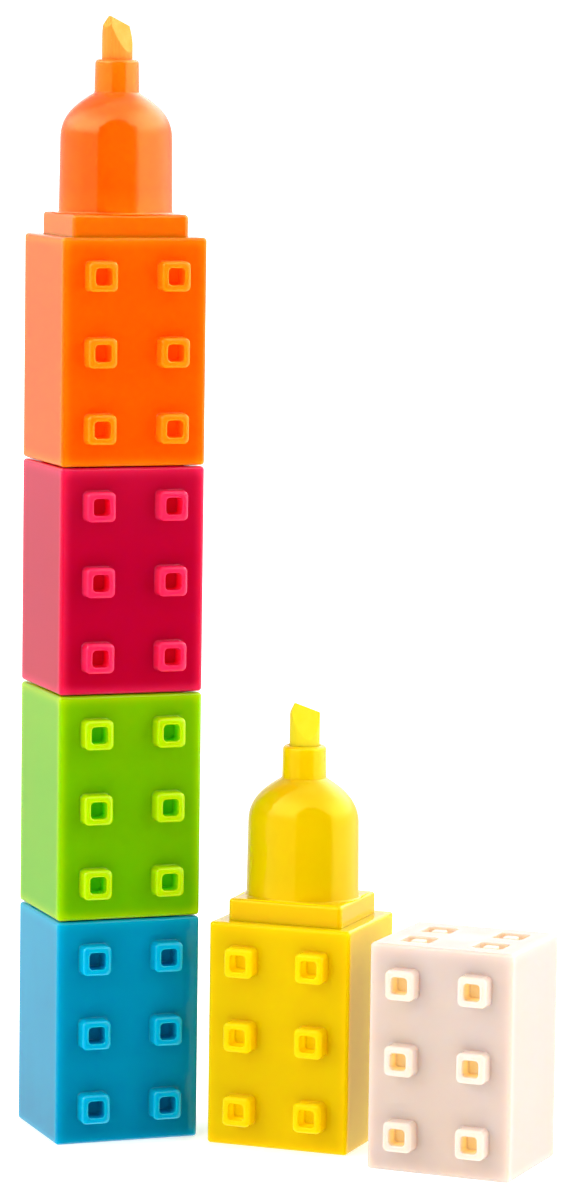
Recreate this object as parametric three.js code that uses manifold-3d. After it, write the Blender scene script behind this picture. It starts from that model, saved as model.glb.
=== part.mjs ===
// A set of stacking highlighters shaped like building bricks, in millimetres, +Z up.
// Four markers stand in a tower: each block is hollow and is the cap of the marker below it.
// A fifth marker and the spare cap for the topmost nib stand beside the tower.
// The origin is the middle of the whole set, on the surface that it stands on.
import * as THREE from 'three';
import { mergeVertices } from 'three/addons/utils/BufferGeometryUtils.js';
import Module from 'manifold-3d';

const wasm = await Module();
wasm.setup();

// ---- Driving dimensions -------------------------------------------------------------------

const STUD_PITCH = 12.6; // a block is three rows of studs high
const BLOCK = { x: 25, y: 22, z: 3 * STUD_PITCH };
const BLOCK_CORNER = 0.6;
const BLOCK_EDGE = 0.4;
const SEAM = 0.2; // gap between one block of the tower and the next

const STUD = { size: 5.0, corner: 0.7, height: 2.8, edge: 0.4 };
const STUD_HOLE = { size: 2.85, depth: 3.0 };
const STUD_COLUMNS = [-0.5, 0.5];
const STUD_ROWS = [-1, 0, 1];

const FIT = 0.2; // side clearance of every sliding or snapped piece
const STEP = 2.4; // how far the collar is set in from the block's faces
const COLLAR = { x: BLOCK.x - 2 * STEP, y: BLOCK.y - 2 * STEP, z: 3.7, corner: 0.6, edge: 0.4 };
const CAVITY = { x: COLLAR.x + 2 * FIT, y: COLLAR.y + 2 * FIT, corner: 1.0 };
const TOP_WALL = 2.0;

// The barrel is a bell whose section is an oval, and whose neck, the nib holder, is round.
const BELL = { base: 8.3, shoulder: 8.17, straight: 12.4, dome: 8.5, wall: 1.5 };
const OVAL = 0.163; // how much wider than deep the bell is
const HOLDER = { base: 3.85, top: 3.65, edge: 0.7, height: 25.5 }; // height above the collar
// The skirt goes through the block's top wall, and its bead snaps in under that wall.
const SKIRT = { outer: 7.9, bead: 8.25, depth: 3.4, lead: 0.4, gap: 0.3 };
const BORE = BELL.base - BELL.wall;

const NIB = { radius: 2.55, length: 22.1, tip: 32.65 }; // tip is its height above the collar
// The nib's chisel edge slants by slant, has a land of that half width between its two facets,
// and is cut off from its peak outwards. The nib is turned in its holder by turn degrees.
const CHISEL = { turn: 25, slant: 0.38, facet: 5.2, land: 0.3, peak: -1.75, chamfer: 1.9 };

const RESERVOIR = { radius: 6.0, bottom: 0.8, top: 18.6, socket: 4.8 };

// Heights in the seal cup are measured down from the top face of its own block.
const CUP = {
  mouth: -13.2, shelf: -8.2, roof: -0.9, top: 0.3, outer: 4.9, neck: 4.1, taper: 0.8, nib: 3.0,
};
const CUP_DISC = { radius: BORE - FIT, bottom: -3.0, top: -1.4 };

const SOCKET = { size: STUD.size + 0.3, corner: 1.0, depth: 3.3, x: STUD_PITCH, y: 9.5 };
const SOCKET_BOSS = { size: STUD_HOLE.size - 0.5, corner: 0.6, below: 0.15 };
const CAP_SLAB = 4.6; // thickness of the spare cap's top, which holds the sockets
const CAP_BORE = { radius: 3.6, roof: 1.0 };
const SEAL_FLANGE = { radius: 6.5, thickness: 1.2, gap: 0.3 };

// Where the two loose pieces stand, from the middle of the tower, and how they are turned.
const YELLOW_PLACE = { x: 29.1, y: -15.9, turn: -40.8 };
const CAP_PLACE = { x: 48.2, y: -41.8, turn: -42.7 };

const ROUND_STEPS = { barrel: 20, cup: 16, fibre: 14, dome: 4, domeInside: 3 };
const CUT = 1; // how far a cutting solid runs past the face it cuts

const PLASTICS = {
  blue: 0x0090bd,
  green: 0x80c700,
  pink: 0xd9003a,
  orange: 0xff6a00,
  yellow: 0xf2cc00,
  white: 0xf6e9e0,
};
const INKS = {
  blue: 0x19b8e8,
  green: 0xb8ee20,
  pink: 0xff3f78,
  orange: 0xffac30,
  yellow: 0xf2f000,
};

// ---- Solids -------------------------------------------------------------------------------

function solid(geometry) {
  const plain = geometry.index ? geometry.toNonIndexed() : geometry.clone();
  plain.deleteAttribute('normal');
  plain.deleteAttribute('uv');
  const merged = mergeVertices(plain, 1e-4);
  return new wasm.Manifold(
    new wasm.Mesh({
      numProp: 3,
      vertProperties: merged.attributes.position.array,
      triVerts: new Uint32Array(merged.index.array),
    }),
  );
}

function geometryOf(manifold) {
  const mesh = manifold.getMesh();
  const geometry = new THREE.BufferGeometry();
  geometry.setAttribute('position', new THREE.BufferAttribute(mesh.vertProperties, 3));
  geometry.setIndex(new THREE.BufferAttribute(mesh.triVerts, 1));
  geometry.computeVertexNormals();
  return geometry;
}

function roundedRectangle(width, height, corner) {
  const x = width / 2 - corner;
  const y = height / 2 - corner;
  const shape = new THREE.Shape();
  shape.absarc(x, y, corner, 0, Math.PI / 2);
  shape.absarc(-x, y, corner, Math.PI / 2, Math.PI);
  shape.absarc(-x, -y, corner, Math.PI, 1.5 * Math.PI);
  shape.absarc(x, -y, corner, 1.5 * Math.PI, 2 * Math.PI);
  shape.closePath();
  return shape;
}

// A prism that stands on z = 0, with its top and bottom edges cut off by edge.
function roundedPrism(width, depth, height, corner, edge, steps) {
  const geometry = new THREE.ExtrudeGeometry(roundedRectangle(width, depth, corner), {
    depth: height - 2 * edge,
    bevelEnabled: edge > 0,
    bevelThickness: edge,
    bevelSize: edge,
    bevelOffset: -edge,
    bevelSegments: 1,
    curveSegments: steps,
  });
  return geometry.translate(0, 0, edge);
}

// Turns a profile of [radius, height] points about the Z axis.
function turned(profile, steps) {
  const points = profile.map(([radius, height]) => new THREE.Vector2(radius, height));
  return new THREE.LatheGeometry(points, steps).rotateX(Math.PI / 2);
}

// Widens a turned shape along X: not at all at the nib holder's radius, fully at the bell's.
function oval(geometry) {
  const position = geometry.attributes.position;
  for (let i = 0; i < position.count; i++) {
    const radius = Math.hypot(position.getX(i), position.getY(i));
    const share = THREE.MathUtils.smoothstep(radius, HOLDER.base, BELL.base);
    position.setX(i, position.getX(i) * (1 + OVAL * share));
  }
  return geometry;
}

// ---- Pieces. A block stands on z = 0; the others are measured from its top face -----------

function studSolids() {
  const buried = 2 * STUD.edge;
  const stud = roundedPrism(
    STUD.size, STUD.size, STUD.height + buried, STUD.corner, STUD.edge, 1,
  ).translate(0, 0, -buried);
  const holeLength = STUD_HOLE.depth + CUT;
  const hole = new THREE.BoxGeometry(STUD_HOLE.size, STUD_HOLE.size, holeLength)
    .translate(0, 0, STUD.height - STUD_HOLE.depth + holeLength / 2);
  const place = (geometry, column, row) =>
    solid(
      geometry
        .clone()
        .rotateX(Math.PI / 2)
        .translate(column * STUD_PITCH, -BLOCK.y / 2, BLOCK.z / 2 + row * STUD_PITCH),
    );
  const grid = STUD_COLUMNS.flatMap((column) => STUD_ROWS.map((row) => [column, row]));
  return {
    studs: grid.map(([column, row]) => place(stud, column, row)),
    holes: grid.map(([column, row]) => place(hole, column, row)),
  };
}

function brick(topWall) {
  const { studs, holes } = studSolids();
  let shell = solid(roundedPrism(BLOCK.x, BLOCK.y, BLOCK.z, BLOCK_CORNER, BLOCK_EDGE, 1));
  for (const stud of studs) shell = shell.add(stud);
  for (const hole of holes) shell = shell.subtract(hole);
  const depth = BLOCK.z - topWall + CUT;
  const cavity = roundedPrism(CAVITY.x, CAVITY.y, depth, CAVITY.corner, 0, 1);
  return shell.subtract(solid(cavity.translate(0, 0, -CUT)));
}

function markerBlock() {
  const radius = SKIRT.outer + FIT;
  const top = BLOCK.z + CUT;
  const bottom = BLOCK.z - TOP_WALL - CUT;
  const opening = turned([[0, bottom], [radius, bottom], [radius, top], [0, top]], ROUND_STEPS.barrel);
  return geometryOf(brick(TOP_WALL).subtract(solid(oval(opening))));
}

function capBlock() {
  let shell = brick(CAP_SLAB);
  const roof = BLOCK.z - CAP_BORE.roof;
  const floor = BLOCK.z - CAP_SLAB - CUT;
  const bore = turned(
    [[0, floor], [CAP_BORE.radius, floor], [CAP_BORE.radius, roof], [0, roof]],
    ROUND_STEPS.cup,
  );
  shell = shell.subtract(solid(bore));
  const well = roundedPrism(SOCKET.size, SOCKET.size, SOCKET.depth + CUT, SOCKET.corner, 0, 1);
  const bossLength = SOCKET.depth - SOCKET_BOSS.below + CUT;
  const boss = roundedPrism(
    SOCKET_BOSS.size, SOCKET_BOSS.size, bossLength, SOCKET_BOSS.corner, 0, 1,
  ).translate(0, 0, -CUT);
  const groove = solid(well).subtract(solid(boss));
  for (const column of [-0.5, 0.5]) {
    for (const row of [-0.5, 0.5]) {
      const at = [column * SOCKET.x, row * SOCKET.y, BLOCK.z - SOCKET.depth];
      shell = shell.subtract(groove.translate(at));
    }
  }
  return geometryOf(shell);
}

// The dome's curve from the shoulder in to a given radius, as [radius, height] points.
function dome(radius, rise, stopRadius, steps) {
  const middle = COLLAR.z + BELL.straight;
  const stop = Math.acos(stopRadius / radius);
  return Array.from({ length: steps + 1 }, (_, i) => {
    const angle = (stop * i) / steps;
    return [radius * Math.cos(angle), middle + rise * Math.sin(angle)];
  });
}

function barrel() {
  const holderTop = COLLAR.z + HOLDER.height;
  const nibBore = NIB.radius + FIT;
  const outside = [
    [BORE, -SKIRT.depth],
    [SKIRT.outer, -SKIRT.depth],
    [SKIRT.bead, -SKIRT.depth + SKIRT.lead],
    [SKIRT.bead, -TOP_WALL - 2 * SKIRT.gap],
    [SKIRT.outer, -TOP_WALL - SKIRT.gap],
    [SKIRT.outer, COLLAR.z / 2],
    [BELL.base, COLLAR.z],
    ...dome(BELL.shoulder, BELL.dome, HOLDER.base, ROUND_STEPS.dome),
    [HOLDER.top, holderTop - HOLDER.edge],
    [HOLDER.top - HOLDER.edge, holderTop],
  ];
  const inside = dome(BORE, BELL.dome - BELL.wall, nibBore, ROUND_STEPS.domeInside).reverse();
  const profile = [...outside, [nibBore, holderTop], ...inside, outside[0]];
  const bell = solid(oval(turned(profile, ROUND_STEPS.barrel)));
  const plate = solid(
    roundedPrism(COLLAR.x, COLLAR.y, COLLAR.z, COLLAR.corner, COLLAR.edge, 1),
  );
  const hollow = turned(
    [[0, -CUT], [BORE, -CUT], [BORE, COLLAR.z + CUT], [0, COLLAR.z + CUT]],
    ROUND_STEPS.barrel,
  );
  return geometryOf(bell.add(plate.subtract(solid(oval(hollow)))));
}

function nib() {
  const tip = COLLAR.z + NIB.tip;
  const bottom = tip - NIB.length;
  const reach = NIB.radius + CUT;
  const rod = turned(
    [[0, bottom], [NIB.radius, bottom], [NIB.radius, tip + CUT], [0, tip + CUT]],
    ROUND_STEPS.fibre,
  );
  // Looking along X: two facets that meet in a narrow land, sheared so that the land slants.
  const peakHeight = tip + CHISEL.slant * CHISEL.peak;
  const slope = CHISEL.facet / (NIB.radius - CHISEL.land);
  const foot = peakHeight - slope * (reach - CHISEL.land);
  const wedge = new THREE.Shape([
    new THREE.Vector2(-reach, bottom - CUT),
    new THREE.Vector2(reach, bottom - CUT),
    new THREE.Vector2(reach, foot),
    new THREE.Vector2(CHISEL.land, peakHeight),
    new THREE.Vector2(-CHISEL.land, peakHeight),
    new THREE.Vector2(-reach, foot),
  ]);
  const wedgePrism = new THREE.ExtrudeGeometry(wedge, { depth: 2 * reach, bevelEnabled: false })
    .translate(0, 0, -reach)
    .rotateX(Math.PI / 2)
    .rotateZ(Math.PI / 2)
    .applyMatrix4(new THREE.Matrix4().makeShear(0, -CHISEL.slant, 0, 0, 0, 0));
  // Looking along Y: the high corner is cut off.
  const outer = -NIB.radius - CUT;
  const chamferSlope = CHISEL.chamfer / (NIB.radius + CHISEL.peak);
  const corner = new THREE.Shape([
    new THREE.Vector2(outer, tip - chamferSlope * (CHISEL.peak - outer)),
    new THREE.Vector2(CHISEL.peak, tip),
    new THREE.Vector2(CHISEL.peak, tip + 2 * CUT),
    new THREE.Vector2(outer, tip + 2 * CUT),
  ]);
  const cornerPrism = new THREE.ExtrudeGeometry(corner, { depth: 2 * reach, bevelEnabled: false })
    .translate(0, 0, -reach)
    .rotateX(Math.PI / 2);
  const chisel = solid(rod).intersect(solid(wedgePrism)).subtract(solid(cornerPrism));
  return geometryOf(chisel).rotateZ(THREE.MathUtils.degToRad(CHISEL.turn));
}

function reservoir() {
  const nibBore = NIB.radius + FIT;
  const profile = [
    [0, RESERVOIR.bottom],
    [RESERVOIR.radius, RESERVOIR.bottom],
    [RESERVOIR.radius, RESERVOIR.top],
    [nibBore, RESERVOIR.top],
    [nibBore, RESERVOIR.top - RESERVOIR.socket],
    [0, RESERVOIR.top - RESERVOIR.socket],
  ];
  return geometryOf(solid(turned(profile, ROUND_STEPS.fibre)));
}

// Closes the barrel's ink chamber, and seals round the nib holder of the marker below.
function sealCup() {
  const holderBore = HOLDER.base + FIT;
  const profile = [
    [0, CUP.roof],
    [CUP.nib, CUP.roof],
    [CUP.nib, CUP.shelf],
    [holderBore, CUP.shelf],
    [holderBore, CUP.mouth],
    [CUP.outer, CUP.mouth],
    [CUP.outer, CUP.shelf],
    [CUP.neck, CUP.shelf + CUP.taper],
    [CUP.neck, CUP_DISC.bottom],
    [CUP_DISC.radius, CUP_DISC.bottom],
    [CUP_DISC.radius, CUP_DISC.top],
    [CUP.neck, CUP_DISC.top],
    [CUP.neck, CUP.top],
    [0, CUP.top],
  ];
  return geometryOf(solid(oval(turned(profile, ROUND_STEPS.cup))));
}

// The spare cap's seal is a tube with a flange under the cap's slab.
function capSeal() {
  const holderBore = HOLDER.base + FIT;
  const neck = CAP_BORE.radius - FIT;
  const flangeTop = -CAP_SLAB - SEAL_FLANGE.gap;
  const flangeBottom = flangeTop - SEAL_FLANGE.thickness;
  const profile = [
    [CUP.nib, CUP.shelf],
    [holderBore, CUP.shelf],
    [holderBore, CUP.mouth],
    [CUP.outer, CUP.mouth],
    [CUP.outer, flangeBottom],
    [SEAL_FLANGE.radius, flangeBottom],
    [SEAL_FLANGE.radius, flangeTop],
    [neck, flangeTop],
    [neck, -CAP_BORE.roof - FIT],
    [CUP.nib, -CAP_BORE.roof - FIT],
    [CUP.nib, CUP.shelf],
  ];
  return geometryOf(solid(turned(profile, ROUND_STEPS.cup)));
}

// ---- Assembly -----------------------------------------------------------------------------

const gloss = (colour) =>
  new THREE.MeshStandardMaterial({ color: colour, roughness: 0.28, metalness: 0 });
const fibre = (colour) =>
  new THREE.MeshStandardMaterial({ color: colour, roughness: 0.9, metalness: 0 });
const sealPlastic = new THREE.MeshStandardMaterial({ color: 0xf0efe9, roughness: 0.5, metalness: 0 });

const shapes = {
  block: markerBlock(),
  barrel: barrel(),
  nib: nib(),
  reservoir: reservoir(),
  seal_cup: sealCup(),
};

function piece(name, geometry, material, height) {
  const mesh = new THREE.Mesh(geometry, material);
  mesh.name = name;
  mesh.position.z = height;
  return mesh;
}

function marker(colour) {
  const plastic = gloss(PLASTICS[colour]);
  const felt = fibre(INKS[colour]);
  const group = new THREE.Group();
  group.add(
    piece(`${colour}_block`, shapes.block, plastic, 0),
    piece(`${colour}_barrel`, shapes.barrel, plastic, BLOCK.z),
    piece(`${colour}_nib`, shapes.nib, felt, BLOCK.z),
    piece(`${colour}_reservoir`, shapes.reservoir, felt, BLOCK.z),
    piece(`${colour}_seal_cup`, shapes.seal_cup, sealPlastic, BLOCK.z),
  );
  return group;
}

function spareCap() {
  const group = new THREE.Group();
  group.add(
    piece('cap_block', capBlock(), gloss(PLASTICS.white), 0),
    piece('cap_seal', capSeal(), sealPlastic, BLOCK.z),
  );
  return group;
}

function stand(group, place) {
  group.position.set(place.x, place.y, 0);
  group.rotation.z = THREE.MathUtils.degToRad(place.turn);
  return group;
}

const highlighters = new THREE.Group();
['blue', 'green', 'pink', 'orange'].forEach((colour, storey) => {
  const block = marker(colour);
  block.position.z = storey * (BLOCK.z + SEAM);
  highlighters.add(block);
});
highlighters.add(stand(marker('yellow'), YELLOW_PLACE), stand(spareCap(), CAP_PLACE));

// The origin goes to the middle of the set's footprint.
highlighters.updateMatrixWorld(true);
const middle = new THREE.Box3().setFromObject(highlighters, true).getCenter(new THREE.Vector3());
for (const group of highlighters.children) {
  group.position.x -= middle.x;
  group.position.y -= middle.y;
}

export default highlighters;
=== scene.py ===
"""Stacking highlighters shaped like building bricks: a tower of four, a loose one and a loose cap."""
import math

import bmesh
import bpy
from mathutils import Matrix, Vector


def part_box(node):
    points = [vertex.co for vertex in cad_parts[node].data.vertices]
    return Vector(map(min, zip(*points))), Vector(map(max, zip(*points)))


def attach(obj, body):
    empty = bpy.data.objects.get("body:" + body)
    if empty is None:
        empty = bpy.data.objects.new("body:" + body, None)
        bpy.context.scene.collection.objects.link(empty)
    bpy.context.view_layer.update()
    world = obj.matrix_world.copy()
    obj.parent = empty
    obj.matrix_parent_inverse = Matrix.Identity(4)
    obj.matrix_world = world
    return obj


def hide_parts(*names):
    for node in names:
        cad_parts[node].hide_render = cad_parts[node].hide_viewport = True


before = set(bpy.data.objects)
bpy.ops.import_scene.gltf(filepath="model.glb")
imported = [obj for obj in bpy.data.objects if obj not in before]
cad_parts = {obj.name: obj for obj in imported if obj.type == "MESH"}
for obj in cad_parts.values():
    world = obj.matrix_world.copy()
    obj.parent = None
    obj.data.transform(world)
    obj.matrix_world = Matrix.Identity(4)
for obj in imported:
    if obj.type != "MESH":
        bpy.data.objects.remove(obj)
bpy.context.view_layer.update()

MM = 0.001
TOWER = ("blue", "green", "pink", "orange")
MARKERS = TOWER + ("yellow",)
TURNS = {"yellow": -40.8, "cap": -42.7}  # degrees about Z; the tower isn't turned

# ---- Dimensions of the pieces, in millimetres ---------------------------------------------

BLOCK = {"x": 25.0, "y": 22.0, "z": 37.8, "edge": 0.6}
STUD = {"size": 5.0, "corner": 0.9, "height": 2.8, "edge": 0.55, "root": 0.15, "pitch": 12.6}
STUD_HOLE = {"size": 2.85, "corner": 0.65, "depth": 3.0, "edge": 0.2, "root": 0.35}
COLUMNS = (-0.5, 0.5)
ROWS = (-1, 0, 1)
CELL_MARGIN = 0.25  # flat rim between a stud's root and the edge of its grid cell

COLLAR = {"x": 20.2, "y": 17.2, "z": 3.7, "corner": 0.8, "edge": 0.6}
CAVITY = {"x": 20.6, "y": 17.6, "corner": 1.0, "edge": 0.3, "root": 0.5}
TOP_WALL = 2.0
CAP_SLAB = 4.6

BELL = {"base": 8.3, "shoulder": 8.17, "straight": 12.4, "dome": 8.5, "wall": 1.5, "root": 0.35}
OVAL = 0.163  # how much wider than deep the bell is
HOLDER = {"base": 3.85, "top": 3.65, "edge": 0.7, "height": 25.5, "blend": 30}
SKIRT = {"outer": 7.9, "depth": 3.4, "chamfer": 0.3}
SKIRT_BEAD = {"radius": 8.25, "below_wall": 0.15, "slope": 0.4, "above_foot": 0.7}
FIT = 0.2
BORE = BELL["base"] - BELL["wall"]

NIB = {"radius": 2.55, "length": 22.1, "tip": 32.65, "chamfer": 0.3, "cut_zone": 8}
CHISEL = {"turn": 25, "slant": 0.38, "facet": 5.2, "land": 0.3, "peak": -1.75, "chamfer": 1.9, "soft": 0.25}
RESERVOIR = {"radius": 6.0, "bottom": 0.8, "top": 18.6, "socket": 4.8, "low_edge": 0.4, "high_edge": 0.5}
RESERVOIR_LIP = 0.3
CUP = {"mouth": -13.2, "shelf": -8.2, "roof": -0.9, "top": 0.3, "outer": 4.9, "neck": 4.1, "nib": 3.0}
CUP_DISC = {"bottom": -3.0, "top": -1.4, "edge": 0.2}
CUP_SLOPE = 0.8  # from the cup's full width up to its neck
CUP_EDGE = 0.3
SOCKET = {"size": 5.3, "corner": 1.0, "depth": 3.3, "x": 12.6, "y": 9.5, "edge": 0.2}
SOCKET_BOSS = {"size": 2.35, "corner": 0.6, "below": 0.15}
CAP_BORE = {"radius": 3.6, "roof": 1.0}
SEAL_FLANGE = {"radius": 6.5, "thickness": 1.2, "gap": 0.3, "edge": 0.3}

WELD = 1e-4  # points closer than this become one
NIB_WELD = 0.02
SHARP_ANGLE = 40  # an edge between two faces is shown sharp from this many degrees on
NIB_BEVEL_ANGLE = 12  # a cut edge of the nib is softened from this many degrees on
ROUND_EDGE_ANGLES = (0, 15, 30, 45)
LEAST_CORNER = 0.12
BAND_STEPS = 4
DOME_STEPS = 30
DOME_OVERRUN = 0.6  # how far past the dome's own height its profile is followed, into the nib holder
INNER_DOME_STEPS = 8
CROWN_STEPS = 5
NIB_BORE_LIP = 0.1

# ---- Camera, floor and light --------------------------------------------------------------

AIM = Vector((0.0028, 0.0148, 0.0907))
DISTANCE = 0.8042
YAW = -20.24
PITCH = 6.458
ROLL = 0.808
SENSOR = 36.0
LENS = 142.9
# The light tent's strengths: low down, low down on the right, higher up on the left, in the middle and on the
# right, at the top, how much more there is behind the set, and in its opening.
TENT = {"low": 0.75, "low_right": 1.6, "high": (2.8, 1.15, 3.4), "top": 1.0, "behind": 0.5, "opening": 0.02}
# Where its parts meet: each pair says where a change starts and ends. Upwards they are sines above the
# horizon. Across they are cosines of the angle from an azimuth, in degrees from the front towards the right.
LOW_RIGHT = {"azimuth": 65, "span": (0.45, 0.95)}
LOW_BY_OPENING = {"span": (0.6, 1), "share": 0.7}  # dimmer low down, towards the opening's left edge
HIGH_SIDES_SPAN = (0.1, 1)  # from the middle to straight left and straight right
LOW_TO_HIGH = (0.12, 0.42)
HIGH_TO_TOP = (0.6, 0.95)
BEHIND_SPAN = (0.9, 0.985)
# Dimmer up at the back: the span is of the cosine from straight behind plus the sine above the horizon.
HIGH_BEHIND = {"span": (1.1, 1.6), "share": 0.45}
# The opening: the azimuths of its two edges, how softly each edge ends, how high its ends and its middle
# reach, and how softly it ends up there.
OPENING = {
    "left": -44,
    "left_soft": (-0.02, 0.02),
    "right": 25,
    "right_soft": (-0.25, 0.1),
    "low": 0.45,
    "high": 0.68,
    "roof_soft": (-0.03, 0.03),
}
# The floor is a pale sheet that shines a little, like a light table; its half is in metres.
FLOOR = {"half": 12.0, "shade": 0.95, "roughness": 0.8, "shine": 0.45}


def make_camera():
    data = bpy.data.cameras.new("camera")
    data.sensor_fit = "VERTICAL"
    data.sensor_height = SENSOR
    data.lens = LENS
    data.clip_start = 0.01
    data.clip_end = 60
    camera = bpy.data.objects.new("camera", data)
    bpy.context.collection.objects.link(camera)
    turn = (
        Matrix.Rotation(math.radians(YAW), 4, "Z")
        @ Matrix.Rotation(math.radians(90 - PITCH), 4, "X")
        @ Matrix.Rotation(math.radians(ROLL), 4, "Z")
    )
    camera.matrix_world = Matrix.Translation(AIM) @ turn @ Matrix.Translation((0, 0, DISTANCE))
    bpy.context.scene.camera = camera


def make_tent(tree, background):
    """A white light tent all round, brightest high up left and right, with a low dim opening in front."""

    def node(kind, **values):
        made = tree.nodes.new("ShaderNode" + kind)
        for key, value in values.items():
            setattr(made, key, value)
        return made

    def ramp(value, start, end, low, high):
        made = node("MapRange", interpolation_type="SMOOTHSTEP")
        for socket, number in zip(("From Min", "From Max", "To Min", "To Max"), (start, end, low, high)):
            made.inputs[socket].default_value = number
        tree.links.new(value, made.inputs["Value"])
        return made.outputs["Result"]

    def combine(operation, a, b):
        made = node("Math", operation=operation)
        tree.links.new(a, made.inputs[0])
        tree.links.new(b, made.inputs[1])
        return made.outputs[0]

    direction = node("TexCoord").outputs["Generated"]
    level = node("VectorMath", operation="MULTIPLY")
    level.inputs[1].default_value = (1, 1, 0)
    tree.links.new(direction, level.inputs[0])
    level_unit = node("VectorMath", operation="NORMALIZE")
    tree.links.new(level.outputs[0], level_unit.inputs[0])

    def towards(azimuth):
        """1 where the direction's azimuth is the given one, -1 opposite it."""
        made = node("VectorMath", operation="DOT_PRODUCT")
        angle = math.radians(azimuth)
        made.inputs[1].default_value = (math.sin(angle), -math.cos(angle), 0)
        tree.links.new(level_unit.outputs[0], made.inputs[0])
        return made.outputs["Value"]

    height = node("SeparateXYZ")
    tree.links.new(direction, height.inputs[0])
    left_edge = ramp(towards(OPENING["left"] + 90), *OPENING["left_soft"], 0, 1)
    right_edge = ramp(towards(OPENING["right"] - 90), *OPENING["right_soft"], 0, 1)
    middle = towards((OPENING["left"] + OPENING["right"]) / 2)
    reach = math.cos(math.radians((OPENING["right"] - OPENING["left"]) / 2))
    roof = ramp(middle, reach, 1, OPENING["low"], OPENING["high"])
    below = ramp(combine("SUBTRACT", roof, height.outputs["Z"]), *OPENING["roof_soft"], 0, 1)
    opening = combine("MULTIPLY", combine("MULTIPLY", left_edge, right_edge), below)

    # Where a ramp's low or high end isn't one number, it is linked afterwards in place of the number.
    low_walls = ramp(towards(LOW_RIGHT["azimuth"]), *LOW_RIGHT["span"], TENT["low"], TENT["low_right"])
    by_opening = ramp(towards(OPENING["left"]), *LOW_BY_OPENING["span"], 1, LOW_BY_OPENING["share"])
    low_walls = combine("MULTIPLY", low_walls, by_opening)
    high_left, high_middle, high_right = TENT["high"]
    high_walls = ramp(towards(90), *HIGH_SIDES_SPAN, high_middle, high_right)
    more_left = ramp(towards(-90), *HIGH_SIDES_SPAN, 0, high_left - high_middle)
    high_walls = combine("ADD", high_walls, more_left)
    sides = ramp(height.outputs["Z"], *LOW_TO_HIGH, 0, 1)
    tree.links.new(low_walls, sides.node.inputs["To Min"])
    tree.links.new(high_walls, sides.node.inputs["To Max"])
    walls = ramp(height.outputs["Z"], *HIGH_TO_TOP, 0, TENT["top"])
    tree.links.new(sides, walls.node.inputs["To Min"])
    walls = combine("ADD", walls, ramp(towards(180 + YAW), *BEHIND_SPAN, 0, TENT["behind"]))
    high_behind = combine("ADD", towards(180), height.outputs["Z"])
    walls = combine("MULTIPLY", walls, ramp(high_behind, *HIGH_BEHIND["span"], 1, HIGH_BEHIND["share"]))
    strength = ramp(opening, 0, 1, 0, TENT["opening"])
    tree.links.new(walls, strength.node.inputs["To Min"])
    tree.links.new(strength, background.inputs["Strength"])


def make_studio():
    bpy.context.scene.view_settings.view_transform = "Standard"
    world = bpy.data.worlds.new("studio")
    bpy.context.scene.world = world
    world.use_nodes = True
    make_tent(world.node_tree, world.node_tree.nodes["Background"])
    world.node_tree.nodes["Background"].inputs["Color"].default_value = (1, 1, 1, 1)

    mesh = bpy.data.meshes.new("floor")
    half = FLOOR["half"]
    corners = [(-half, -half, 0), (half, -half, 0), (half, half, 0), (-half, half, 0)]
    mesh.from_pydata(corners, [], [(0, 1, 2, 3)])
    floor = bpy.data.objects.new("floor", mesh)
    bpy.context.collection.objects.link(floor)
    paint = bpy.data.materials.new("floor_paper")
    paint.use_nodes = True
    shader = paint.node_tree.nodes["Principled BSDF"]
    shader.inputs["Base Color"].default_value = (FLOOR["shade"], FLOOR["shade"], FLOOR["shade"], 1)
    shader.inputs["Roughness"].default_value = FLOOR["roughness"]
    shader.inputs["Emission Color"].default_value = (1, 1, 1, 1)
    shader.inputs["Emission Strength"].default_value = FLOOR["shine"]
    mesh.materials.append(paint)
    floor.visible_glossy = False


# ---- Mesh building ------------------------------------------------------------------------
# A ring is a closed list of (u, v) points, with the same number in each quadrant, so that a
# ring of one form can always be joined to a ring of another.

CORNER_POINTS = 6
ROUND_POINTS = 18


def rectangle_ring(half_u, half_v, corner, points=CORNER_POINTS):
    ring = []
    for quadrant, (su, sv) in enumerate(((1, 1), (-1, 1), (-1, -1), (1, -1))):
        for i in range(points):
            angle = math.radians(90 * (quadrant + i / (points - 1)))
            u = su * (half_u - corner) + corner * math.cos(angle)
            v = sv * (half_v - corner) + corner * math.sin(angle)
            ring.append((u, v))
    return ring


def oval_ring(radius, points=ROUND_POINTS, oval=True):
    """A circle, widened along u: not at all at the nib holder's radius, fully at the bell's."""
    share = min(max((radius - HOLDER["base"]) / (BELL["base"] - HOLDER["base"]), 0), 1)
    widen = 1 + OVAL * share * share * (3 - 2 * share) if oval else 1
    angles = [math.radians(90 * (i + 0.5) / points) for i in range(4 * points)]
    return [(radius * widen * math.cos(a), radius * math.sin(a)) for a in angles]


def upright(ring, height):
    return [Vector((u, v, height)) for u, v in ring]


def arc(start, end, steps=3, bulge=True):
    """Points of a quarter round from start to end, both (across, along). It leaves start across, or along it
    where bulge is False."""
    (a0, b0), (a1, b1) = start, end
    points = []
    for i in range(steps + 1):
        t = math.radians(90 * i / steps)
        first, second = (math.sin(t), 1 - math.cos(t)) if bulge else (1 - math.cos(t), math.sin(t))
        points.append((a0 + (a1 - a0) * first, b0 + (b1 - b0) * second))
    return points


def add_loft(bm, rings, cap_start=False, cap_end=False, closed=False):
    """Joins each ring of points to the next; closed joins the last one to the first."""
    rows = [[bm.verts.new(p) for p in ring] for ring in rings]
    if closed:
        rows.append(rows[0])
    for low, high in zip(rows, rows[1:]):
        for i, here in enumerate(low):
            j = (i + 1) % len(low)
            bm.faces.new((here, low[j], high[j], high[i]))
    if cap_start:
        bm.faces.new(rows[0])
    if cap_end:
        bm.faces.new(rows[-1])


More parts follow.
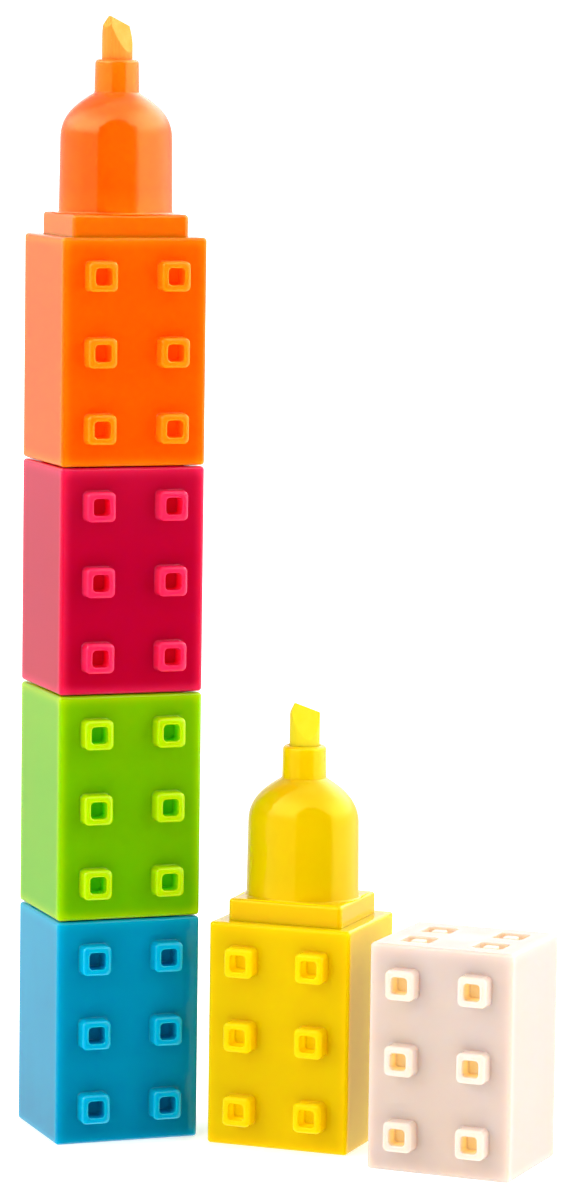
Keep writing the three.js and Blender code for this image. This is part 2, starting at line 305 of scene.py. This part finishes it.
def add_panel(bm, us, vs, place, pockets=()):
    """A flat grid over the lines us and vs. Each pocket is (u0, u1, v0, v1, ring): its cells are left out,
    and what is left between their outline and the ring is filled, so that a surface can go on from there."""

    def inside(u, v):
        return any(u0 < u < u1 and v0 < v < v1 for u0, u1, v0, v1, _ in pockets)

    def vert(u, v):
        return bm.verts.new(place(u, v))

    for u0, u1 in zip(us, us[1:]):
        for v0, v1 in zip(vs, vs[1:]):
            if not inside((u0 + u1) / 2, (v0 + v1) / 2):
                bm.faces.new([vert(u0, v0), vert(u1, v0), vert(u1, v1), vert(u0, v1)])
    for u0, u1, v0, v1, ring in pockets:
        across = [u for u in us if u0 < u < u1]
        along = [v for v in vs if v0 < v < v1]
        corners = ((u1, v1), (u0, v1), (u0, v0), (u1, v0))
        between = (
            [(u, v1) for u in reversed(across)],
            [(u0, v) for v in reversed(along)],
            [(u, v0) for u in across],
            [(u1, v) for v in along],
        )
        share = len(ring) // 4
        for q, corner in enumerate(corners):
            part = ring[q * share:(q + 1) * share]
            for a, b in zip(part, part[1:]):
                bm.faces.new([vert(*corner), vert(*b), vert(*a)])
            after = ring[(q + 1) * share % len(ring)]
            outline = [corner, *between[q], corners[(q + 1) % 4], after, part[-1]]
            bm.faces.new([vert(*p) for p in outline])


def make_piece(name, bm, body, nodes, material, at):
    """Welds the faces, puts the piece in place in the row frame, ties it to its body and hides its CAD nodes.
    """
    bmesh.ops.remove_doubles(bm, verts=bm.verts, dist=WELD)
    bmesh.ops.recalc_face_normals(bm, faces=bm.faces)
    sharp = math.radians(SHARP_ANGLE)
    for face in bm.faces:
        face.smooth = True
    for edge in bm.edges:
        edge.smooth = not edge.is_manifold or edge.calc_face_angle() < sharp
    mesh = bpy.data.meshes.new(name)
    bm.transform(at @ Matrix.Scale(MM, 4))
    bm.to_mesh(mesh)
    bm.free()
    mesh.materials.append(material)
    piece = bpy.data.objects.new(name, mesh)
    bpy.context.collection.objects.link(piece)
    normals = piece.modifiers.new("even_faces", "WEIGHTED_NORMAL")
    normals.keep_sharp = True
    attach(piece, body)
    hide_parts(*nodes)


# ---- The block, which is also the cap of the marker below it ------------------------------


def around(centre, half):
    return [centre - half, centre + half]


def block_lines(half, breaks):
    """Grid lines across one side of the block: those of its rounded edges, and the breaks between."""
    edge = BLOCK["edge"]
    rounded = [half - edge * (1 - math.tan(math.radians(t))) for t in ROUND_EDGE_ANGLES]
    return sorted([-u for u in rounded] + rounded + breaks)


def rounded_box_point(u, v, w):
    """A point of the sharp box, centred on the origin, moved onto the box with rounded edges."""
    edge = BLOCK["edge"]
    halves = (BLOCK["x"] / 2, BLOCK["y"] / 2, BLOCK["z"] / 2)
    core = Vector(max(-h + edge, min(h - edge, p)) for p, h in zip((u, v, w), halves))
    return core + (Vector((u, v, w)) - core).normalized() * edge + Vector((0, 0, BLOCK["z"] / 2))


def add_stud(bm, column, row):
    """A square stud with a square hole; gives its outline on the block's front, for the panel round it."""
    x, z = column * STUD["pitch"], BLOCK["z"] / 2 + row * STUD["pitch"]
    half, hole = STUD["size"] / 2, STUD_HOLE["size"] / 2
    top, floor = STUD["height"], STUD["height"] - STUD_HOLE["depth"]
    root, edge, lip = STUD["root"], STUD["edge"], STUD_HOLE["edge"]
    profile = [
        *arc((half + root, 0), (half, root)),
        *arc((half, top - edge), (half - edge, top), steps=4, bulge=False),
        *arc((hole + lip, top), (hole, top - lip)),
        *arc((hole, floor + STUD_HOLE["root"]), (hole - STUD_HOLE["root"], floor), bulge=False),
    ]
    corner_inset = {True: STUD["corner"] - half, False: STUD_HOLE["corner"] - hole}
    rings = []
    for size, out in profile:
        corner = max(size + corner_inset[size > (half + hole) / 2], LEAST_CORNER)
        ring = rectangle_ring(size, size, corner)
        rings.append([Vector((x + u, -BLOCK["y"] / 2 - out, z + v)) for u, v in ring])
    add_loft(bm, rings, cap_end=True)
    return [(p.x, p.z) for p in rings[0]]


def add_socket(bm, column, row):
    """A square socket with a pin; gives its outline on the cap's top, for the panel round it."""
    x, y, top = column * SOCKET["x"], row * SOCKET["y"], BLOCK["z"]
    half, boss, lip = SOCKET["size"] / 2, SOCKET_BOSS["size"] / 2, SOCKET["edge"]
    floor, crown = top - SOCKET["depth"], top - SOCKET_BOSS["below"]
    profile = [
        *arc((half + lip, top), (half, top - lip)),
        (half, floor),
        (boss, floor),
        *arc((boss, crown - lip), (boss - lip, crown), bulge=False),
    ]
    corner_inset = {True: SOCKET["corner"] - half, False: SOCKET_BOSS["corner"] - boss}
    rings = []
    for size, height in profile:
        ring = rectangle_ring(size, size, size + corner_inset[size > (half + boss) / 2])
        rings.append([Vector((x + u, y + v, height)) for u, v in ring])
    add_loft(bm, rings, cap_end=True)
    return [(p.x, p.y) for p in rings[0]]


def block_mesh(is_cap):
    """The hollow studded block. A marker's is open at the top too, under its collar; the cap's is closed."""
    bm = bmesh.new()
    hx, hy, hz = BLOCK["x"] / 2, BLOCK["y"] / 2, BLOCK["z"] / 2
    stud_half = STUD["size"] / 2 + STUD["root"] + CELL_MARGIN
    socket_half = SOCKET["size"] / 2 + SOCKET["edge"] + CELL_MARGIN
    rim = [CAVITY[axis] / 2 + CAVITY["edge"] + CELL_MARGIN for axis in ("x", "y")]
    stud_x = [u for c in COLUMNS for u in around(c * STUD["pitch"], stud_half)]
    stud_z = [u for r in ROWS for u in around(r * STUD["pitch"], stud_half)]
    socket_y = [u for c in COLUMNS for u in around(c * SOCKET["y"], socket_half)] if is_cap else []
    xs = block_lines(hx, stud_x + around(0, rim[0]))
    ys = block_lines(hy, socket_y + around(0, rim[1]))
    zs = block_lines(hz, stud_z)

    studs = []
    for column in COLUMNS:
        for row in ROWS:
            x, z = column * STUD["pitch"], row * STUD["pitch"]
            ring = [(u, v - hz) for u, v in add_stud(bm, column, row)]
            studs.append((*around(x, stud_half), *around(z, stud_half), ring))

    mouth = CAVITY["edge"]
    corner = CAVITY["corner"]
    ceiling = BLOCK["z"] - (CAP_SLAB if is_cap else TOP_WALL)
    root = CAVITY["root"]
    profile = [*arc((mouth, 0), (0, mouth)), *arc((0, ceiling - root), (-root, ceiling), bulge=False)]
    rings = [
        upright(
            rectangle_ring(CAVITY["x"] / 2 + out, CAVITY["y"] / 2 + out, corner + out, ROUND_POINTS), height
        )
        for out, height in profile
    ]
    rim_ring = [(p.x, p.y) for p in rings[0]]
    if is_cap:
        bore = oval_ring(CAP_BORE["radius"], oval=False)
        roof = BLOCK["z"] - CAP_BORE["roof"]
        rings += [upright(bore, ceiling), upright(bore, roof)]
        add_loft(bm, rings, cap_end=True)
        tops = []
        for column in COLUMNS:
            for row in COLUMNS:
                ring = add_socket(bm, column, row)
                x, y = column * SOCKET["x"], row * SOCKET["y"]
                tops.append((*around(x, stud_half), *around(y, socket_half), ring))
    else:
        opening = oval_ring(SKIRT["outer"] + FIT)
        rings += [upright(opening, ceiling), upright(opening, BLOCK["z"])]
        add_loft(bm, rings)
        tops = [(*around(0, rim[0]), *around(0, rim[1]), opening)]

    foot = [(*around(0, rim[0]), *around(0, rim[1]), rim_ring)]
    add_panel(bm, xs, zs, lambda u, v: rounded_box_point(u, -hy, v), studs)
    add_panel(bm, xs, zs, lambda u, v: rounded_box_point(u, hy, v))
    add_panel(bm, ys, zs, lambda u, v: rounded_box_point(-hx, u, v))
    add_panel(bm, ys, zs, lambda u, v: rounded_box_point(hx, u, v))
    add_panel(bm, xs, ys, lambda u, v: rounded_box_point(u, v, -hz), foot)
    add_panel(bm, xs, ys, lambda u, v: rounded_box_point(u, v, hz), tops)
    return bm


# ---- What is inside and above the block; heights are from the block's top face ------------


def bell_radius(height):
    """The bell's radius, front to back, from its foot up into the nib holder, with a soft hollow between."""
    if height < BELL["straight"]:
        return BELL["base"] + (BELL["shoulder"] - BELL["base"]) * height / BELL["straight"]
    holder_share = (height - BELL["straight"]) / (HOLDER["height"] - BELL["straight"])
    holder = HOLDER["base"] + (HOLDER["top"] - HOLDER["base"]) * holder_share
    rise = (height - BELL["straight"]) / BELL["dome"]
    dome = BELL["shoulder"] * math.sqrt(max(1 - rise * rise, 0))
    return (dome ** HOLDER["blend"] + holder ** HOLDER["blend"]) ** (1 / HOLDER["blend"])


def barrel_mesh():
    """Collar, bell and nib holder, all one hollow moulding that snaps into the block's top."""
    bm = bmesh.new()
    collar, edge, root = COLLAR["z"], COLLAR["edge"], BELL["root"]
    outer, foot, chamfer = SKIRT["outer"], -SKIRT["depth"], SKIRT["chamfer"]
    bead, bead_top = SKIRT_BEAD["radius"], -TOP_WALL - SKIRT_BEAD["below_wall"]
    skirt = [
        (BORE, foot),
        (outer - chamfer, foot),
        (outer, foot + chamfer),
        (bead, foot + SKIRT_BEAD["above_foot"]),
        (bead, bead_top - SKIRT_BEAD["slope"]),
        (outer, bead_top),
        (outer, 0),
    ]
    rings = [upright(oval_ring(r), z) for r, z in skirt]
    plate = [(0, 0), *arc((0, collar - edge), (-edge, collar), steps=4, bulge=False)]
    rings += [
        upright(
            rectangle_ring(
                COLLAR["x"] / 2 + out, COLLAR["y"] / 2 + out, COLLAR["corner"] + out, ROUND_POINTS
            ),
            z,
        )
        for out, z in plate
    ]
    bell_foot = arc((BELL["base"] + root, collar), (BELL["base"], collar + root))
    rings += [upright(oval_ring(r), z) for r, z in bell_foot]
    straight = BELL["straight"]
    dome_top = straight + BELL["dome"] + DOME_OVERRUN
    heights = [straight * i / BAND_STEPS for i in range(1, BAND_STEPS + 1)]
    for i in range(1, DOME_STEPS + 1):
        heights.append(straight + (dome_top - straight) * math.sin(math.pi / 2 * i / DOME_STEPS))
    rings += [upright(oval_ring(bell_radius(h)), collar + h) for h in heights]
    crown = collar + HOLDER["height"]
    nib_bore = NIB["radius"] + FIT
    top, top_edge = HOLDER["top"], HOLDER["edge"]
    rounding = arc((top, crown - top_edge), (top - top_edge, crown), CROWN_STEPS, bulge=False)
    rings += [upright(oval_ring(r), z) for r, z in rounding]
    rings += [upright(oval_ring(nib_bore), crown - drop) for drop in (0, NIB_BORE_LIP)]
    inner_rise = BELL["dome"] - BELL["wall"]
    stop = math.acos(nib_bore / BORE)
    for i in range(INNER_DOME_STEPS + 1):
        t = stop * (1 - i / INNER_DOME_STEPS)
        rings.append(upright(oval_ring(BORE * math.cos(t)), collar + straight + inner_rise * math.sin(t)))
    add_loft(bm, rings, closed=True)
    return bm


def cut(bm, point, normal):
    """Cuts away what lies on the normal's side of the plane, and closes the cut."""
    geometry = bm.verts[:] + bm.edges[:] + bm.faces[:]
    result = bmesh.ops.bisect_plane(bm, geom=geometry, plane_co=point, plane_no=normal, clear_outer=True)
    edges = [e for e in result["geom_cut"] if isinstance(e, bmesh.types.BMEdge)]
    bmesh.ops.holes_fill(bm, edges=edges)


def nib_mesh():
    """A felt rod cut to a chisel by two facets that meet in a slanted land, its high corner taken off."""
    bm = bmesh.new()
    tip = COLLAR["z"] + NIB["tip"]
    bottom, radius, chamfer = tip - NIB["length"], NIB["radius"], NIB["chamfer"]
    cut_from = tip - NIB["cut_zone"]
    profile = [(radius - chamfer, bottom), (radius, bottom + chamfer), (radius, cut_from), (radius, tip + 1)]
    rings = [upright(oval_ring(r, oval=False), z) for r, z in profile]
    add_loft(bm, rings, cap_start=True, cap_end=True)
    bmesh.ops.recalc_face_normals(bm, faces=bm.faces)
    slant, peak, land = CHISEL["slant"], CHISEL["peak"], CHISEL["land"]
    slope = CHISEL["facet"] / (radius - land)
    ridge = Vector((peak, 0, tip))
    cut(bm, ridge, Vector((slant, 0, 1)))
    for side in (-1, 1):
        cut(bm, ridge + Vector((0, side * land, 0)), Vector((slant, side * slope, 1)))
    steep = CHISEL["chamfer"] / (radius + peak)
    cut(bm, ridge, Vector((-steep, 0, 1)))
    bmesh.ops.remove_doubles(bm, verts=bm.verts, dist=NIB_WELD)
    bevel_angle = math.radians(NIB_BEVEL_ANGLE)
    edges = [e for e in bm.edges if e.is_manifold and e.calc_face_angle() > bevel_angle]
    edges = [e for e in edges if all(v.co.z > cut_from for v in e.verts)]
    bmesh.ops.bevel(bm, geom=edges, offset=CHISEL["soft"], segments=3, affect="EDGES", clamp_overlap=True)
    bm.transform(Matrix.Rotation(math.radians(CHISEL["turn"]), 4, "Z"))
    return bm


def reservoir_mesh():
    """The felt cylinder in the barrel that holds the ink, with a socket for the nib's stem."""
    bm = bmesh.new()
    low, high, radius = RESERVOIR["bottom"], RESERVOIR["top"], RESERVOIR["radius"]
    low_edge, high_edge, lip = RESERVOIR["low_edge"], RESERVOIR["high_edge"], RESERVOIR_LIP
    socket, depth = NIB["radius"] + FIT, RESERVOIR["socket"]
    profile = [
        *arc((radius - low_edge, low), (radius, low + low_edge)),
        *arc((radius, high - high_edge), (radius - high_edge, high), bulge=False),
        *arc((socket + lip, high), (socket, high - lip)),
        (socket, high - depth),
    ]
    add_loft(bm, [upright(oval_ring(r, oval=False), z) for r, z in profile], cap_start=True, cap_end=True)
    return bm


def cup_mouth(outer):
    """A seal's lip, from the shelf that the nib holder below stops at, round the mouth and up the outside."""
    bore, mouth = HOLDER["base"] + FIT, CUP["mouth"]
    middle = (bore + outer) / 2
    return [
        (CUP["nib"], CUP["shelf"]),
        (bore, CUP["shelf"]),
        *arc((bore, mouth + middle - bore), (middle, mouth), bulge=False),
        *arc((middle, mouth), (outer, mouth + outer - middle)),
    ]


def seal_cup_mesh():
    """Plugs the ink chamber, and seals round the nib holder of the marker below."""
    bm = bmesh.new()
    disc, edge = BORE - FIT, CUP_DISC["edge"]
    low, high = CUP_DISC["bottom"], CUP_DISC["top"]
    neck, top = CUP["neck"], CUP["top"]
    profile = [
        (CUP["nib"], CUP["roof"]),
        *cup_mouth(CUP["outer"]),
        (CUP["outer"], CUP["shelf"]),
        (neck, CUP["shelf"] + CUP_SLOPE),
        (neck, low),
        *arc((disc - edge, low), (disc, low + edge)),
        *arc((disc, high - edge), (disc - edge, high), bulge=False),
        (neck, high),
        *arc((neck, top - CUP_EDGE), (neck - CUP_EDGE, top), bulge=False),
    ]
    add_loft(bm, [upright(oval_ring(r), z) for r, z in profile], cap_start=True, cap_end=True)
    return bm


def cap_seal_mesh():
    """The same seal for the loose cap: a tube with a flange under the cap's slab."""
    bm = bmesh.new()
    neck, top = CAP_BORE["radius"] - FIT, -CAP_BORE["roof"] - FIT
    outer, edge = CUP["outer"], SEAL_FLANGE["edge"]
    flange, high = SEAL_FLANGE["radius"], -CAP_SLAB - SEAL_FLANGE["gap"]
    low = high - SEAL_FLANGE["thickness"]
    profile = [
        *cup_mouth(outer),
        (outer, low - edge),
        *arc((outer, low - edge), (outer + edge, low)),
        *arc((flange - edge, low), (flange, low + edge)),
        *arc((flange, high - edge), (flange - edge, high), bulge=False),
        (neck, high),
        (neck, top),
        (CUP["nib"], top),
    ]
    add_loft(bm, [upright(oval_ring(r, oval=False), z) for r, z in profile], closed=True)
    return bm


# ---- Materials ----------------------------------------------------------------------------

# A noise is waves per metre, detail, roughness, and how each axis is scaled: below 1 draws the noise out
# along it. A bump is a height in metres and a strength. A span is where a noise, an occlusion or a height
# begins and stops to count. A share is how far the colour then goes to the next one.
FLOW_MARKS = (90, 3, 0.5, (1, 1, 0.35))
FLOW_SHARE = 0.12
# Painted shade at a block's foot, deeper in colour, and painted light at a barrel's foot, lighter.
FOOT_SPAN = (0.12, 0.35)  # as parts of the piece's height
# Painted light: each moulding lighter towards its top.
HEAD_SPAN = (0.6, 1)
HEAD_LIGHT_SHARE = 0.1
# Painted light: thin walls painted lighter, standing in for light shining through them.
THIN_SPAN = (0.35, 0.95)
# Painted shade in the stud holes and sockets, deeper in colour there, and a painted glow there by emission,
# standing in for light let through the plastic.
HOLE_WIDTH = 0.003  # in metres
HOLE_SPAN = (0.1, 0.5)
HOLE_SHADE_SHARE = 0.7
HOLE_LIGHT_SPAN = (0.1, 0.6)
HOLE_LIGHT = 0.45
SMUDGES = (260, 5, 0.6)
GLOSS_ROUGHNESS = (0.06, 0.14)
ORANGE_PEEL = (700, 2, 0.5)
PEEL_BUMP = (0.000005, 0.5)
SCRATCHES = (900, 2, 0.4, (1, 1, 0.04))
SCRATCH_SPAN = (0.68, 0.74)
SCRATCH_BUMP = (0.000003, 0.35)

FELT_STREAKS = (3200, 4, 0.65, (1, 1, 0.08))
STREAK_SHARE = 0.3
STREAK_BUMP = (0.00008, 0.7)
FELT_BLOTS = (700, 3, 0.5)
BLOT_SHARE = 0.3
BLOT_BUMP = (0.00006, 0.4)
# The felt is lighter, towards its dry colour, on faces turned up.
UPWARD_FACES_SPAN = (0.15, 0.25)
UPWARD_FACES_SHARE = 0.9
FELT_ROUGHNESS = (0.62, 0.85)

SEAL_CLOUDS = (400, 4, 0.55)
SEAL_CLOUD_SHARE = 0.6
SEAL_PALE = (242, 240, 232)
SEAL_DULL = (222, 218, 206)
SEAL_ROUGHNESS = (0.42, 0.58)
TURNING_MARKS = (500, 2, 0.5, (0.05, 0.05, 4))
TURNING_BUMP = (0.00003, 0.5)

# For each kind of moulding: where it counts as thin, in metres, and how far painted light lightens it there;
# what colour its foot leans to, deep for painted shade and glow for painted light, and how far; its
# refractive index; and how far light scatters in it, in metres.
PLASTIC_KINDS = {
    "block": {
        "thin": 0.0021, "thin_light_share": 0.85, "foot": "deep", "foot_share": 0.1, "index": 1.55, "reach": 0.003
    },
    "barrel": {
        "thin": 0.0016, "thin_light_share": 0.5, "foot": "glow", "foot_share": 0.5, "index": 1.85, "reach": 0.0012
    },
    "cap": {
        "thin": 0.0021, "thin_light_share": 0.85, "foot": "face", "foot_share": 0, "index": 1.55, "reach": 0.003
    },
}
# For each plastic, in sRGB: its face; its holes, a painted shade also used for its flow marks, a block's foot
# and its painted hole glow; its thin places, a painted light also used at its top and at a barrel's foot;
# then what share of the reach red, green and blue light scatter; and in sRGB the tint of its gloss.
PLASTICS = {
    "blue": ((0, 148, 185), (0, 70, 106), (0, 178, 208), (0.05, 0.5, 0.8), (200, 250, 255)),
    "green": ((118, 180, 0), (16, 180, 0), (192, 214, 0), (0.4, 1, 0.05), (250, 255, 190)),
    "pink": ((184, 0, 50), (200, 0, 14), (246, 46, 98), (1, 0.05, 0.2), (255, 202, 238)),
    "orange": ((255, 96, 0), (248, 82, 0), (255, 148, 14), (1, 0.35, 0.05), (255, 242, 160)),
    "yellow": ((226, 193, 0), (230, 210, 0), (255, 206, 8), (1, 0.8, 0.05), (255, 240, 95)),
    "white": ((212, 195, 188), (244, 206, 104), (232, 216, 206), (1, 0.7, 0.45), (255, 255, 255)),
}
# For each felt, in sRGB: soaked with ink, and dry.
FELTS = {
    "blue": ((20, 172, 222), (110, 214, 240)),
    "green": ((168, 226, 30), (206, 244, 100)),
    "pink": ((250, 50, 110), (255, 130, 166)),
    "orange": ((255, 134, 26), (255, 178, 58)),
    "yellow": ((228, 206, 0), (236, 218, 0)),
}


def linear(*rgb):
    """A colour given as 0 to 255 sRGB values, as linear light with an alpha."""
    parts = [c / 255 for c in rgb]
    return (*[c / 12.92 if c <= 0.04045 else ((c + 0.055) / 1.055) ** 2.4 for c in parts], 1)


class Nodes:
    """Short names for what the materials here are made of."""

    def __init__(self, name):
        self.material = bpy.data.materials.new(name)
        self.material.use_nodes = True
        self.tree = self.material.node_tree
        self.shader = self.tree.nodes["Principled BSDF"]

    def add(self, kind, **values):
        node = self.tree.nodes.new("ShaderNode" + kind)
        for key, value in values.items():
            setattr(node, key, value)
        return node

    def link(self, source, target):
        self.tree.links.new(source, target)

    def noise(self, scale, detail, roughness, stretch=(1, 1, 1)):
        """Noise in the object's own coordinates; scale is in waves per metre."""
        mapping = self.add("Mapping")
        mapping.inputs["Scale"].default_value = stretch
        self.link(self.add("TexCoord").outputs["Object"], mapping.inputs["Vector"])
        noise = self.add("TexNoise")
        noise.inputs["Scale"].default_value = scale
        noise.inputs["Detail"].default_value = detail
        noise.inputs["Roughness"].default_value = roughness
        self.link(mapping.outputs["Vector"], noise.inputs["Vector"])
        return noise.outputs["Fac"]

    def spread(self, value, low, high, start=0.3, end=0.7):
        """Maps start..end of a value to low..high."""
        node = self.add("MapRange")
        node.inputs["From Min"].default_value = start
        node.inputs["From Max"].default_value = end
        node.inputs["To Min"].default_value = low
        node.inputs["To Max"].default_value = high
        self.link(value, node.inputs["Value"])
        return node.outputs["Result"]

    def mix(self, factor, a, b):
        """Goes from colour a to colour b. The node has sockets for each kind of data, so the ones for colours
        are picked by their identifiers."""
        node = self.add("Mix", data_type="RGBA")
        inputs = {socket.identifier: socket for socket in node.inputs}
        outputs = {socket.identifier: socket for socket in node.outputs}
        for socket, colour in ((inputs["A_Color"], a), (inputs["B_Color"], b)):
            if isinstance(colour, tuple):
                socket.default_value = colour
            else:
                self.link(colour, socket)
        self.link(factor, inputs["Factor_Float"])
        return outputs["Result_Color"]

    def occlusion(self, distance, inside=False):
        """1 in the open, less where more of the piece's surface is within the distance, outside or inside."""
        node = self.add("AmbientOcclusion", samples=8, inside=inside, only_local=True)
        node.inputs["Distance"].default_value = distance
        return node.outputs["AO"]

    def bump(self, height, distance, strength, normal=None):
        node = self.add("Bump")
        node.inputs["Distance"].default_value = distance
        node.inputs["Strength"].default_value = strength
        self.link(height, node.inputs["Height"])
        if normal is not None:
            self.link(normal, node.inputs["Normal"])
        return node.outputs["Normal"]

    def set(self, **values):
        for key, value in values.items():
            socket = self.shader.inputs[key.replace("_", " ")]
            if isinstance(value, bpy.types.NodeSocket):
                self.link(value, socket)
            else:
                socket.default_value = value
        return self.material


def gloss_plastic(name, kind, face, deep, glow, scatter, sheen):
    """Injection-moulded, slightly translucent plastic, with flow marks, uneven gloss and hairline scratches.
    Painted light makes its thin places and its top lighter; painted shade deepens its holes, with a painted
    glow there; its foot is painted deeper on a block and lighter on a barrel."""
    n = Nodes(name)
    face, deep, glow, sheen = [linear(*colour) for colour in (face, deep, glow, sheen)]
    look = PLASTIC_KINDS[kind]
    foot = {"face": face, "deep": deep, "glow": glow}[look["foot"]]
    colour = n.mix(n.spread(n.noise(*FLOW_MARKS), 0, FLOW_SHARE), face, deep)
    rise = n.add("SeparateXYZ")
    n.link(n.add("TexCoord").outputs["Generated"], rise.inputs[0])
    # Painted shade at a block's foot, deeper in colour; painted light at a barrel's foot, lighter.
    colour = n.mix(n.spread(rise.outputs["Z"], look["foot_share"], 0, *FOOT_SPAN), colour, foot)
    # Painted light: lighter towards the top of the moulding.
    colour = n.mix(n.spread(rise.outputs["Z"], 0, HEAD_LIGHT_SHARE, *HEAD_SPAN), colour, glow)
    # Painted light: thin walls lighter, towards the glow colour, standing in for light shining through them.
    thin = n.occlusion(look["thin"], inside=True)
    colour = n.mix(n.spread(thin, look["thin_light_share"], 0, *THIN_SPAN), colour, glow)
    # Painted shade: the holes deeper in colour. Painted glow: the holes lit by emission, standing in for
    # light let through.
    hole_shade_mask = n.occlusion(HOLE_WIDTH)
    colour = n.mix(n.spread(hole_shade_mask, HOLE_SHADE_SHARE, 0, *HOLE_SPAN), colour, deep)
    painted_hole_glow = n.mix(n.spread(hole_shade_mask, 1, 0, *HOLE_LIGHT_SPAN), (0, 0, 0, 1), deep)
    gloss = n.spread(n.noise(*SMUDGES), *GLOSS_ROUGHNESS)
    peel = n.bump(n.noise(*ORANGE_PEEL), *PEEL_BUMP)
    lines = n.bump(n.spread(n.noise(*SCRATCHES), 0, 1, *SCRATCH_SPAN), *SCRATCH_BUMP, peel)
    n.set(Base_Color=colour, Roughness=gloss, Normal=lines)
    n.set(IOR=look["index"], Specular_Tint=sheen, Emission_Color=painted_hole_glow, Emission_Strength=HOLE_LIGHT)
    n.set(Subsurface_Weight=1.0, Subsurface_Radius=scatter, Subsurface_Scale=look["reach"])
    return n.material


def felt(name, ink, dry):
    """Bonded fibres soaked with ink: fine streaks along the rod, lighter on faces turned up, a soft surface.
    """
    n = Nodes(name)
    ink, dry = linear(*ink), linear(*dry)
    streaks = n.noise(*FELT_STREAKS)
    blots = n.noise(*FELT_BLOTS)
    upward = n.add("SeparateXYZ")
    n.link(n.add("NewGeometry").outputs["True Normal"], upward.inputs[0])
    colour = n.mix(n.spread(upward.outputs["Z"], 0, UPWARD_FACES_SHARE, *UPWARD_FACES_SPAN), ink, dry)
    colour = n.mix(n.spread(streaks, 0, STREAK_SHARE), colour, dry)
    colour = n.mix(n.spread(blots, 0, BLOT_SHARE), colour, ink)
    fuzz = n.bump(blots, *BLOT_BUMP, n.bump(streaks, *STREAK_BUMP))
    n.set(Base_Color=colour, Roughness=n.spread(blots, *FELT_ROUGHNESS), Normal=fuzz)
    n.set(IOR=1.35, Sheen_Weight=0.15, Sheen_Roughness=0.5, Subsurface_Weight=0.25, Subsurface_Scale=0.0012)
    return n.material


def polyethylene(name):
    """Soft natural seal plastic: milky, satin, with faint turning marks round it."""
    n = Nodes(name)
    cloud = n.noise(*SEAL_CLOUDS)
    colour = n.mix(n.spread(cloud, 0, SEAL_CLOUD_SHARE), linear(*SEAL_PALE), linear(*SEAL_DULL))
    turning = n.bump(n.noise(*TURNING_MARKS), *TURNING_BUMP)
    n.set(Base_Color=colour, Roughness=n.spread(cloud, *SEAL_ROUGHNESS), Normal=turning)
    n.set(Subsurface_Weight=0.4, Subsurface_Scale=0.002)
    return n.material


# ---- The set ------------------------------------------------------------------------------


def place_of(node, turn):
    """Where a marker's or cap's own origin lies: under the middle of the block, on the block's foot."""
    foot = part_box(f"{node}_block")[0].z
    low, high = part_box("cap_seal" if node == "cap" else f"{node}_barrel")
    middle = (low + high) / 2
    return Matrix.Translation((middle.x, middle.y, foot)) @ Matrix.Rotation(math.radians(turn), 4, "Z")


def make_marker(colour, seal):
    body = f"{colour}_marker"
    at = place_of(colour, TURNS.get(colour, 0))
    on_top = at @ Matrix.Translation((0, 0, BLOCK["z"] * MM))
    plastic = gloss_plastic(f"{colour}_plastic", "block", *PLASTICS[colour])
    barrel_plastic = gloss_plastic(f"{colour}_barrel_plastic", "barrel", *PLASTICS[colour])
    fibre = felt(f"{colour}_felt", *FELTS[colour])
    parts = (
        ("block", block_mesh(False), f"{colour}_plastic", plastic, at),
        ("barrel", barrel_mesh(), f"{colour}_plastic", barrel_plastic, on_top),
        ("nib", nib_mesh(), f"{colour}_felt", fibre, on_top),
        ("reservoir", reservoir_mesh(), f"{colour}_felt", fibre, on_top),
        ("seal_cup", seal_cup_mesh(), "seal_plastic", seal, on_top),
    )
    for part, bm, slot, material, where in parts:
        node = f"{colour}_{part}"
        make_piece(f"{node}_skin", bm, body, (node,), material, where)


def make_cap(seal):
    at = place_of("cap", TURNS["cap"])
    on_top = at @ Matrix.Translation((0, 0, BLOCK["z"] * MM))
    plastic = gloss_plastic("white_plastic", "cap", *PLASTICS["white"])
    make_piece("cap_block_skin", block_mesh(True), "spare_cap", ("cap_block",), plastic, at)
    make_piece("cap_seal_skin", cap_seal_mesh(), "spare_cap", ("cap_seal",), seal, on_top)


make_camera()
make_studio()
seal_material = polyethylene("seal_plastic")
for marker_colour in MARKERS:
    make_marker(marker_colour, seal_material)
make_cap(seal_material)
